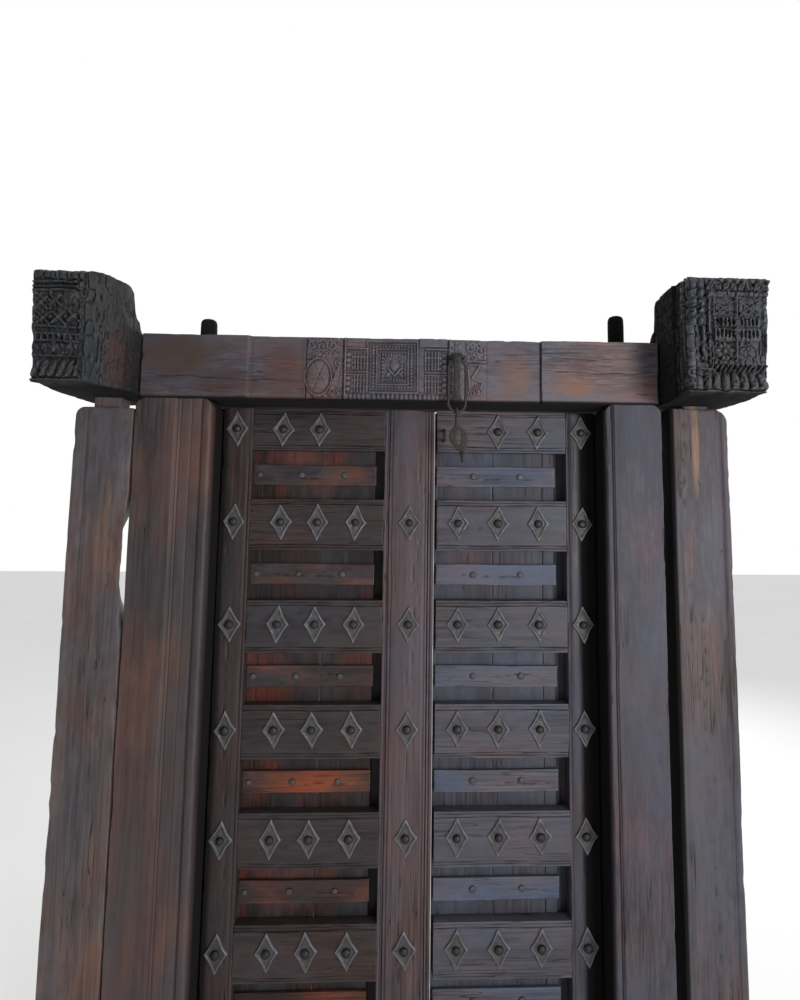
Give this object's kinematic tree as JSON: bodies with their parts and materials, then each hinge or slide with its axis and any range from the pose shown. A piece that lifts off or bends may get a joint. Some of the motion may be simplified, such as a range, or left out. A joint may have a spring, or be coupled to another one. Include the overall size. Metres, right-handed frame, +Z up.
{
  "type": "carved double door with frame",
  "caption": "Weathered timber temple door: studded panelled leaves on wooden pivots in a frame with carved lintel, corbels and jambs, and a hanging chain hasp",
  "frame": {"origin": "on the underside of the threshold, midway between the inner jambs and in the middle of the threshold's depth", "axes": "+X to the right seen from the front, +Y from front to back, so the front faces -Y and the leaves open towards +Y, +Z up"},
  "size_m": [1.9, 0.41, 2.335],
  "materials": {
    "dark_teak": "very dark brown weathered teak, open grain, dry",
    "red_brown_teak": "reddish brown weathered teak with remnants of red paint",
    "grey_teak": "black grey weathered carved teak",
    "weathered_iron": "hammered dark wrought iron with light rust"
  },
  "bodies": {
    "frame": {"threshold": "dark_teak", "lintel": "red_brown_teak", "inner_jamb_left": "dark_teak", "inner_jamb_right": "dark_teak", "outer_jamb_left": "dark_teak", "outer_jamb_right": "dark_teak", "corbel_left": "grey_teak", "corbel_right": "grey_teak", "pivot_cup_left": "weathered_iron", "pivot_cup_right": "weathered_iron", "chain_staple": "weathered_iron"},
    "left_leaf": {"hinge_stile_left": "dark_teak", "meeting_stile": "red_brown_teak", "left_rail_1": "dark_teak", "left_rail_2": "dark_teak", "left_rail_3": "dark_teak", "left_rail_4": "dark_teak", "left_rail_5": "dark_teak", "left_rail_6": "dark_teak", "left_rail_7": "dark_teak", "left_board_1": "red_brown_teak", "left_board_2": "red_brown_teak", "left_board_3": "red_brown_teak", "left_batten_1": "red_brown_teak", "left_batten_2": "red_brown_teak", "left_batten_3": "red_brown_teak", "left_batten_4": "red_brown_teak", "left_batten_5": "red_brown_teak", "left_batten_6": "red_brown_teak", "left_boss_plates": "weathered_iron", "left_boss_nails": "weathered_iron", "left_batten_nails": "weathered_iron", "pivot_shoe_left": "weathered_iron"},
    "right_leaf": {"hinge_stile_right": "dark_teak", "right_rail_1": "dark_teak", "right_rail_2": "dark_teak", "right_rail_3": "dark_teak", "right_rail_4": "dark_teak", "right_rail_5": "dark_teak", "right_rail_6": "dark_teak", "right_rail_7": "dark_teak", "right_board_1": "grey_teak", "right_board_2": "grey_teak", "right_board_3": "grey_teak", "right_batten_1": "grey_teak", "right_batten_2": "grey_teak", "right_batten_3": "grey_teak", "right_batten_4": "grey_teak", "right_batten_5": "grey_teak", "right_batten_6": "grey_teak", "right_boss_plates": "weathered_iron", "right_boss_nails": "weathered_iron", "right_batten_nails": "weathered_iron", "pivot_shoe_right": "weathered_iron", "hasp_staple": "weathered_iron"},
    "strap": {"strap_link": "weathered_iron"},
    "loop": {"long_loop": "weathered_iron"},
    "hasp": {"hasp": "weathered_iron"},
    "ring": {"hasp_ring": "weathered_iron"}
  },
  "joints": [
    {"name": "left_leaf_swing", "type": "hinge", "parent": "frame", "child": "left_leaf", "pos_m": [-0.622, 0.05, 0.12], "axis": [0, 0, 1], "range_deg": [0, 100]},
    {"name": "right_leaf_swing", "type": "hinge", "parent": "frame", "child": "right_leaf", "pos_m": [0.64, 0.05, 0.12], "axis": [0, 0, -1], "range_deg": [0, 100]},
    {"name": "strap_swing", "type": "hinge", "parent": "frame", "child": "strap", "pos_m": [0.128, -0.13, 2.14], "axis": [-1, 0, 0], "range_deg": [-5, 75]},
    {"name": "loop_swing", "type": "hinge", "parent": "strap", "child": "loop", "pos_m": [0.128, -0.13, 2.1295], "axis": [-1, 0, 0], "range_deg": [-5, 35]},
    {"name": "hasp_swing", "type": "hinge", "parent": "loop", "child": "hasp", "pos_m": [0.128, -0.13, 1.9815], "axis": [-1, 0, 0], "range_deg": [-20, 75]},
    {"name": "ring_swing", "type": "hinge", "parent": "hasp", "child": "ring", "pos_m": [0.143, -0.13, 1.8695], "axis": [0, -1, 0], "range_deg": [-30, 30]}
  ]
}
